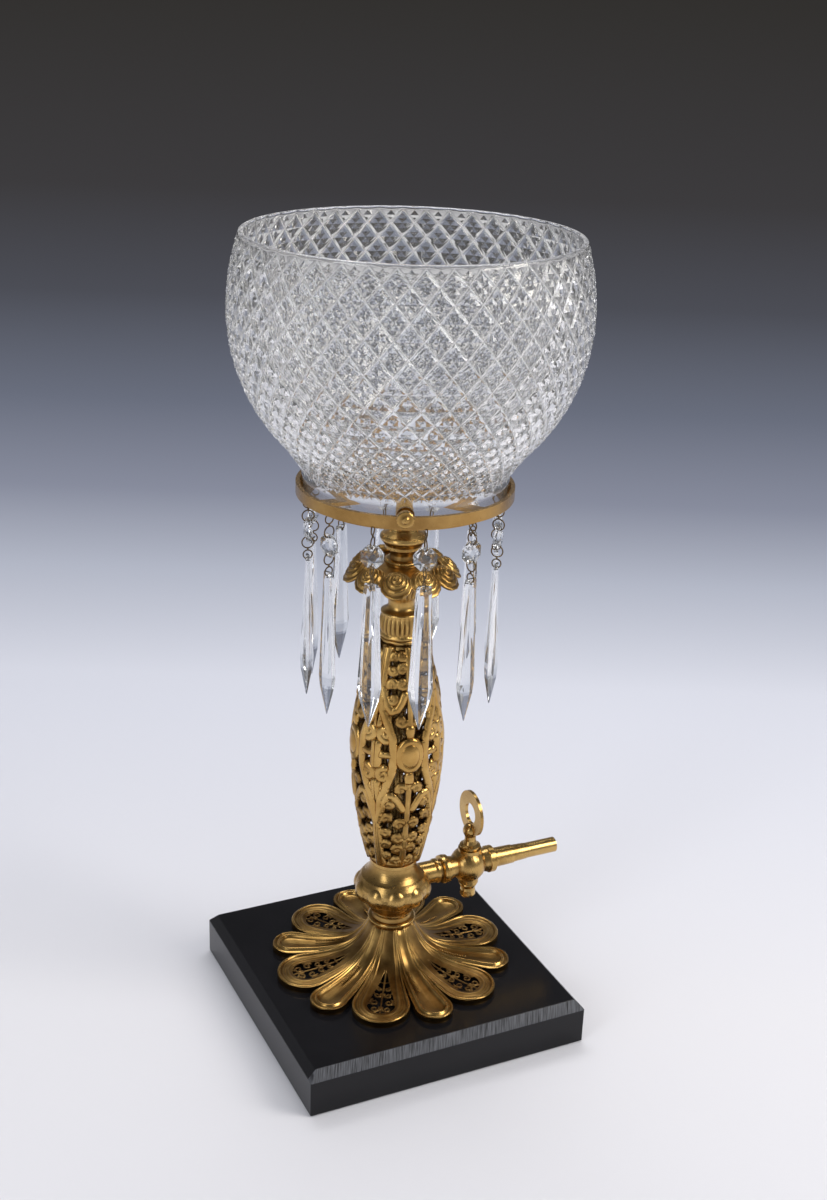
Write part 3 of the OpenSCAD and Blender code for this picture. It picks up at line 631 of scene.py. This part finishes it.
lower_ring = turned([
    (11, 119), (15.2, 118.6), (15.6, 117.4), (15.0, 116.6), (16.1, 115.9), (16.8, 114.6), (16.8, 113.2),
    (16.0, 112.0), (15.3, 111.6), (15.3, column_z), (10.5, column_z)])
upper_ring = turned([
    (11.5, 266), (15.2, 265.6), (15.6, 264.8), (14.8, 264), (14.2, 266.4), (13.2, 269), (12.7, 269.6),
    (13.4, 270.6), (13.5, 272.4), (13.2, column_top), (6.5, column_top)])
column_rings = join_meshes([lower_ring, upper_ring])
fittings = make_mesh("column_rings", *column_rings[:2], cast, True, column_rings[2])
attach(fittings, "stand")


# Crown --------------------------------------------------------------------------------------------
# A second casting on top of the column: a fluted ring, a waist, a fluted bell, and ten scallop shells
# that lean out all round, each with ridges that gather at its hinge.
lobes, shell_phase, cap_z = 10, 21.5, 322
shell_r, shell_z, shell_disc, shell_lean = 29.5, 317.5, 9.9, 38
crown_profile = [
    (6, column_top), (12.6, column_top), (13.3, 273.5), (13.3, 275.2), (12.4, 275.8), (12.6, 276.6),
    (13.4, 278.5), (13.7, 281), (13.6, 284), (13.0, 286.6), (12.2, 288.2), (12.9, 288.8), (12.9, 290),
    (11.2, 290.8), (9.2, 292), (8.4, 294.5), (8.6, 297), (9.6, 299.4), (11.2, 301), (11.6, 302),
    (12.6, 304.5), (13.9, 307), (15.4, 309.4), (18.5, 311.6), (23, 313.6), (26.5, 316), (27, 318),
    (23, 320.2), (16, 320.6), (12, 321), (11, cap_z), (6, cap_z)]
plain_ring, skirt_flutes, bell_flutes = (0, 0), 26, 24
ripples = [plain_ring] * 5 + [(skirt_flutes, depth) for depth in (0.5, 1.2, 1.4, 1.3, 0.9, 0.2)]
ripples += [plain_ring] * 7 + [(bell_flutes, depth) for depth in (0.7, 1.0, 1.3, 1.4, 1.2, 0.8)]
ripples += [plain_ring] * 8
crown = [turned(crown_profile, skirt_flutes * bell_flutes // 2, ripples)]


def shell_mesh(angle):
    """One scallop shell: rings that grow out from the hinge, each a rounded ridge, over a thin back"""
    steps, sides = 40, 48
    points, relief = [], []
    lean = radians(shell_lean)
    for i in range(steps + 1):
        t = i / steps
        ridge = abs(cos(pi * 4.0 * t ** 0.9))
        boss = 1.3 * max(0.0, 1 - t / 0.14)
        h = 4.6 * (1 - t ** 2.2) + 0.75 * ridge * (t > 0.12) - 0.5 + boss
        for j in range(sides):
            b = 2 * pi * j / sides
            scallop = 1 + 0.02 * cos(12 * b) * t
            out = shell_disc * t * scallop
            points.append((out * cos(b) - 3.4 * (1 - t), out * sin(b), h))
            # painted shade: the ridges of the shell get high relief and are painted light, the grooves between
            # them darker
            relief.append(0.25 + 0.6 * ridge)
    # painted shade: the back and the hinge point get low relief and are painted dark
    for j in range(sides):
        b = 2 * pi * j / sides
        points.append(((shell_disc - 0.5) * cos(b), (shell_disc - 0.5) * sin(b), -1.3))
        relief.append(0.2)
    points.append((0, 0, -3))
    relief.append(0.1)
    faces = ring_faces(steps + 2, sides)
    last = (steps + 1) * sides
    faces += [(last + j, last + (j + 1) % sides, last + sides, last + sides) for j in range(sides)]
    p = np.array(points)
    tip = np.array([[cos(lean), 0, -sin(lean)], [0, 1, 0], [sin(lean), 0, cos(lean)]])
    p = p @ tip + np.array([shell_r, 0, shell_z])
    c, s = cos(radians(angle)), sin(radians(angle))
    return p @ np.array([[c, s, 0], [-s, c, 0], [0, 0, 1]]), np.array(faces), np.array(relief)


crown += [shell_mesh(shell_phase + 360 / lobes * k) for k in range(lobes)]
points, faces, relief = join_meshes(crown)
faces = [tuple(dict.fromkeys(f)) for f in faces.tolist()]  # a triangle is listed with its last point twice
crown_piece = make_mesh("shell_crown", points, faces, cast, True, relief)
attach(crown_piece, "stand")
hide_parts("capital")


# Turned brass -------------------------------------------------------------------------------------
# The collar, knop, cap, branch, cock and shade holder are turned from rod or cast and then turned, and
# keep their CAD shape. They have a worn lacquer with painted shade in the corners, and the holder has gone
# browner.

def turned_brass(name, dark, light):
    made = new_finish(name)
    spot = made.node("TexCoord", out="Object")
    # painted shade: low Pointiness marks the corners and creases, which the finish paints dark
    sunk = made.node("NewGeometry", out="Pointiness").between(0.40, 0.56)
    cloud = made.node("TexNoise", None, spot, Scale=40.0, Detail=5.0, Roughness=0.6)
    speck = made.node("TexNoise", None, spot, Scale=420.0, Detail=3.0)
    painted_shade_and_wear = (sunk * 0.65 + cloud * 0.55).between(0.12, 0.80)
    metal = made.mix(cloud.between(0.35, 0.65), dark, light)
    made.surface(
        # (0.13, 0.065, 0.022) is the painted shade of the corners, and also the dark of real uneven wear where
        # the cloud is low
        Base_Color=made.mix(painted_shade_and_wear, (0.13, 0.065, 0.022), metal),
        Metallic=1.0,
        Roughness=0.34 - painted_shade_and_wear * 0.12 + speck * 0.08,
        Normal=made.node("Bump", None, 0.08, 0.0003, Height=speck))
    return made


turned_finish = turned_brass("turned_brass", (0.43, 0.255, 0.075), (0.63, 0.415, 0.150))
aged_finish = turned_brass("aged_brass", (0.30, 0.165, 0.050), (0.46, 0.28, 0.095))
steel = new_finish("plain_steel")
rust = steel.node("TexNoise", None, steel.node("TexCoord", out="Object"), Scale=60.0, Detail=4.0)
steel.surface(
    Base_Color=steel.mix(rust, (0.22, 0.20, 0.18), (0.36, 0.34, 0.32)),
    Metallic=1.0,
    Roughness=0.35 + rust * 0.2)

fired = new_finish("fired_steatite")
soot = fired.node("TexNoise", None, fired.node("TexCoord", out="Object"), Scale=80.0, Detail=4.0)
fired.surface(
    Base_Color=fired.mix(soot, (0.34, 0.30, 0.24), (0.74, 0.69, 0.58)),
    Roughness=0.55 + soot * 0.2)


def dress(finish, *names):
    """Gives CAD pieces a finish"""
    for name in names:
        nodes[name].data.materials.clear()
        nodes[name].data.materials.append(finish.block)


dress(turned_finish, "neck_collar", "knop", "turned_cap", "branch_nipple", "cock_body", "cock_plug",
      "thumb_ring", "plug_nut", "nozzle", "shade_screw_1", "shade_screw_2", "shade_screw_3", "burner_pillar",
      "gas_pipe")
dress(aged_finish, "shade_holder")
dress(steel, "base_washer", "base_nut", "tie_rod")
dress(fired, "burner_tip")


# Glass bowl ---------------------------------------------------------------------------------------
# Blown clear glass, 5 mm thick, with mitre cuts in two directions that leave 42 diamonds round, and a
# finer cross cut on each diamond. The neck below them is plain, and the rim is ground and polished.
rim_z, bowl_r, belly_z, rim_r, bell_z = 525, 108.4, 480, 100.7, 400
fitter_z, fitter_r, fitter_wall, neck_z, neck_r = 369.4, 62.4, 3.6, 384, 63.6
bowl_wall, rim_wall, lower_arc = 4.6, 3, 113
diamonds, rows, cut = 42, 9, 1.7
upper_arc = ((rim_z - belly_z) ** 2 + (bowl_r - rim_r) ** 2) / 2 / (bowl_r - rim_r)


def clear_glass(name, tint, haze):
    """Clear lead glass, whiter along its ground cuts. Shadow rays pass, as light does through thin glass."""
    made = new_finish(name)
    spot = made.node("TexCoord", out="Object")
    smear = made.node("TexNoise", None, spot, Scale=30.0, Detail=4.0)
    shader = made.surface(
        Base_Color=tint, Transmission_Weight=1.0, IOR=1.54, Roughness=smear.between(0.55, 0.85) * haze)
    bloom = made.node("BsdfDiffuse", None, (0.90, 0.89, 0.87))
    ground = made.node("Attribute", {"attribute_name": "relief"}, out="Fac")
    shader = made.node("MixShader", None, ground ** 1.5 * 0.34 + 0.02, shader, bloom)
    shadow = made.node("LightPath", out="Is Shadow Ray")
    through = made.node("BsdfTransparent", None, (0.93, 0.95, 0.96))
    made.show(made.node("MixShader", None, shadow * 0.9, shader, through))
    return made


def bowl_skin(z):
    if z > belly_z:
        return bowl_r - upper_arc + sqrt(upper_arc ** 2 - (z - belly_z) ** 2)
    if z > bell_z:
        return bowl_r - lower_arc + sqrt(lower_arc ** 2 - (z - belly_z) ** 2)
    if z > neck_z:
        return neck_r + (bowl_skin(bell_z + 0.01) - neck_r) * (z - neck_z) / (bell_z - neck_z)
    return fitter_r + (neck_r - fitter_r) * (z - fitter_z) / (neck_z - fitter_z)


# heights of the diamonds' corners, from the rim down; the cuts run out over the last three
levels = [rim_z - 2.2]
while len(levels) < 2 * rows + 1:
    z = levels[-1]
    slope = bowl_skin(z) - bowl_skin(z - 1)
    levels.append(z - 1.21 * pi * bowl_skin(z) / diamonds / sqrt(1 + slope * slope))
fade = np.interp(range(2 * rows + 1), [2 * rows - 3, 2 * rows], [1, 0.15])
points, faces, ground = [], [], []
numbers = {}


def bowl_point(i, t, depth):
    """A point at i half-diamonds round and t half-diamonds down, cut in by depth"""
    z = float(np.interp(t, range(2 * rows + 1), levels))
    r = bowl_skin(z) - depth * float(np.interp(t, range(2 * rows + 1), fade))
    a = pi * i / diamonds
    key = (round(i * 8) % (16 * diamonds), round(t * 8), round(depth * 100))
    if key not in numbers:
        numbers[key] = len(points)
        points.append((r * cos(a), r * sin(a), z))
        ground.append(float(depth == cut))
    return numbers[key]


# share of a diamond inside its mitre cuts, and depths at its corners, sides, middle and four points
q, brink, side, cross, crest = 0.75, 0.80, 1.0, 0.5, 0.12
for level_at in range(2 * rows + 1):
    for i in range((level_at + 1) % 2, 2 * diamonds, 2):
        for way in ([] if level_at == 0 else [-1]) + ([] if level_at == 2 * rows else [1]):
            def at(u, v, depth):
                return bowl_point(i + u, level_at + way * v, depth)
            w_out, e_out, s_out = at(-1, 0, cut), at(1, 0, cut), at(0, 1, cut)
            w_in, e_in, s_in = at(-q, 0, brink), at(q, 0, brink), at(0, q, brink)
            sw_out, se_out = at(-0.5, 0.5, cut), at(0.5, 0.5, cut)
            sw_in, se_in = at(-q / 2, q / 2, side), at(q / 2, q / 2, side)
            middle = at(0, 0, cross)
            tops = at(-q / 2, 0, crest), at(q / 2, 0, crest), at(0, q / 2, crest)
            new = [(w_out, sw_out, sw_in, w_in), (sw_out, s_out, s_in, sw_in),
                   (s_out, se_out, se_in, s_in), (se_out, e_out, e_in, se_in),
                   (w_in, sw_in, tops[0]), (sw_in, middle, tops[0]),
                   (middle, se_in, tops[1]), (se_in, e_in, tops[1]),
                   (sw_in, s_in, tops[2]), (s_in, se_in, tops[2]),
                   (se_in, middle, tops[2]), (middle, sw_in, tops[2])]
            faces += [f if way == 1 else f[::-1] for f in new]
cut_faces = len(faces)

# plain glass: from the top row over the rim, down the inside, round the fitter and up to the last row
plain = [(bowl_skin(rim_z - 1.2), rim_z - 1.2), (rim_r - 0.15, rim_z - 0.35), (rim_r - 0.7, rim_z),
         (rim_r - 2.2, rim_z), (rim_r - 2.9, rim_z - 0.4), (rim_r - 3.1, rim_z - 1.2)]
inside = [rim_z - 2 - (rim_z - 2 - bell_z) * i / 14 for i in range(15)]
for z in inside:
    thicker = min(1, (rim_z - z) / (rim_z - belly_z))
    plain.append((bowl_skin(z) - (rim_wall + (bowl_wall - rim_wall) * thicker), z))
bore_r = fitter_r - fitter_wall
plain += [(bowl_skin(392) - bowl_wall, 392.5), (bowl_skin(387) - 4.2, 388), (neck_r - fitter_wall, neck_z),
          (neck_r - fitter_wall - 0.6, 379), (bore_r, 373), (bore_r, fitter_z + 0.5),
          (bore_r + 0.5, fitter_z), (fitter_r - 0.6, fitter_z), (fitter_r, fitter_z + 0.6),
          (fitter_r + 0.1, 374), (neck_r - 0.3, 379), (neck_r - 0.05, 381.2)]


def row_end(level_at):
    """The points of the cut surface's edge at its first or last level, in order round the bowl"""
    ring = []
    for i in range((level_at + 1) % 2, 2 * diamonds, 2):
        ring += [bowl_point(i + u, level_at, depth) for u, depth in (
            (-1, cut), (-q, brink), (-q / 2, crest), (0, cross), (q / 2, crest), (q, brink))]
    return ring


def band(upper, lower):
    """Faces between two rings of as many points"""
    n = len(upper)
    return [(upper[i], upper[(i + 1) % n], lower[(i + 1) % n], lower[i]) for i in range(n)]


ring = row_end(0)
where = np.array([points[k] for k in ring])
around = np.arctan2(where[:, 1], where[:, 0])
for r, z in plain:
    fresh = list(range(len(points), len(points) + len(ring)))
    points += [(r * cos(a), r * sin(a), z) for a in around]
    faces += band(ring, fresh)
    ring = fresh
last = row_end(2 * rows)
aside = [abs((np.arctan2(points[k][1], points[k][0]) - around[0] + pi) % (2 * pi) - pi) for k in last]
shift = int(np.argmin(aside))
faces += band(ring, last[shift:] + last[:shift])
smooth = [False] * cut_faces + [True] * (len(faces) - cut_faces)
bowl_glass = clear_glass("bowl_glass", (0.995, 0.985, 0.965), 0.03)
ground += [0.0] * (len(points) - len(ground))
bowl = make_mesh("cut_bowl", points, faces, bowl_glass, smooth, ground)
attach(bowl, "bowl")
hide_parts("bowl")


# Hanging glass ------------------------------------------------------------------------------------
# Twelve eight-sided beads and twelve long spear prisms of cut and polished lead glass, on loops of
# thin brass wire that have gone dark. The CAD solids carry every facet.
prism_glass = clear_glass("prism_glass", (0.88, 0.895, 0.91), 0.03)
wire = new_finish("dull_wire")
tarnish = wire.node("TexNoise", None, wire.node("TexCoord", out="Object"), Scale=300.0, Detail=3.0)
wire.surface(
    Base_Color=wire.mix(tarnish, (0.07, 0.045, 0.025), (0.22, 0.15, 0.07)),
    Metallic=1.0,
    Roughness=0.35 + tarnish * 0.2)
for k in range(1, 13):
    dress(prism_glass, f"bead_{k}", f"prism_{k}")
    dress(wire, f"wires_{k}")
